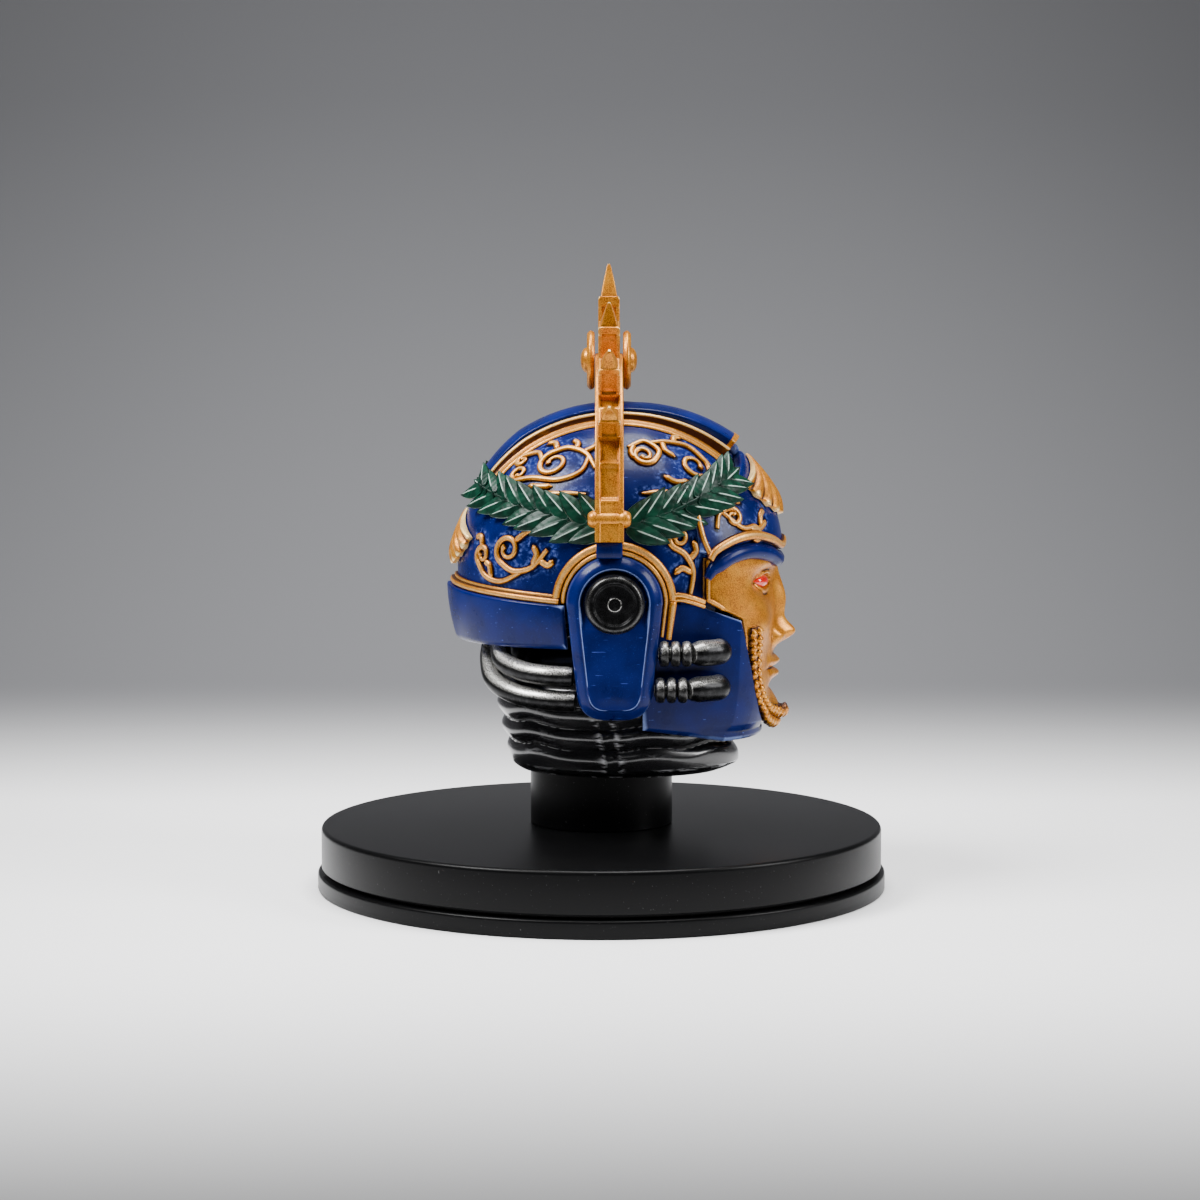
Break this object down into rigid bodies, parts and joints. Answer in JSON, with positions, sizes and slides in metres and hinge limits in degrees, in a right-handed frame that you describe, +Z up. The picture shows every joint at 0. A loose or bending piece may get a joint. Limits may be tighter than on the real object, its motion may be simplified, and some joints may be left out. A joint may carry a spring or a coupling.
{
  "type": "costume helmet on display stand",
  "caption": "Masked parade helmet with raised comb, laurel wreath, radiate crest, ear casings, hoses and folded neck, set on a round display stand.",
  "frame": {"origin": "centre of the stand's underside", "axes": "+Z up, +X the way the mask faces, -Y the wearer's right"},
  "size_m": [0.456, 0.456, 0.498],
  "materials": {
    "blue_enamel": "satin-gloss ultramarine enamel over a rigid shell",
    "gold_paint": "metallic gold paint with brown wash in its hollows",
    "green_paint": "satin dark green paint, pale at the leaf edges",
    "neck_rubber": "glossy black, silver-brushed on the folds",
    "gunmetal_paint": "black with silver-brushed highlights",
    "red_lens": "glossy red",
    "stand_plastic": "fine-grained satin black"
  },
  "bodies": {
    "root": {"skull_shell": "blue_enamel", "comb": "blue_enamel", "frontlet": "blue_enamel", "nape_guard": "blue_enamel", "ear_casing_right": "blue_enamel", "ear_casing_left": "blue_enamel", "jaw_guard": "blue_enamel", "comb_trim_right": "gold_paint", "comb_trim_left": "gold_paint", "brow_bead_right": "gold_paint", "brow_bead_left": "gold_paint", "nape_moulding": "gold_paint", "ear_rim_right": "gold_paint", "ear_rim_left": "gold_paint", "face_mask": "gold_paint", "jaw_braid": "gold_paint", "crest": "gold_paint", "rosette_front": "gold_paint", "rosette_back": "gold_paint", "scallop_front": "gold_paint", "scallop_rear": "gold_paint", "scroll_dome_rear_right": "gold_paint", "scroll_dome_rear_left": "gold_paint", "scroll_dome_front_right": "gold_paint", "scroll_dome_front_left": "gold_paint", "scroll_nape_right": "gold_paint", "scroll_nape_left": "gold_paint", "scroll_brow_right": "gold_paint", "scroll_brow_left": "gold_paint", "scroll_temple_right": "gold_paint", "scroll_temple_left": "gold_paint", "wreath_front_right": "green_paint", "wreath_front_left": "green_paint", "wreath_rear_right": "green_paint", "wreath_rear_left": "green_paint", "neck_sleeve": "neck_rubber", "ear_boss_right": "gunmetal_paint", "ear_boss_left": "gunmetal_paint", "cheek_hose_upper_right": "gunmetal_paint", "cheek_hose_upper_left": "gunmetal_paint", "cheek_hose_lower_right": "gunmetal_paint", "cheek_hose_lower_left": "gunmetal_paint", "nape_hose_upper_right": "gunmetal_paint", "nape_hose_upper_left": "gunmetal_paint", "nape_hose_lower_right": "gunmetal_paint", "nape_hose_lower_left": "gunmetal_paint", "eye_lens_right": "red_lens", "eye_lens_left": "red_lens", "stand_foot": "stand_plastic", "stand_disc": "stand_plastic", "stand_post": "stand_plastic"}
  },
  "joints": []
}
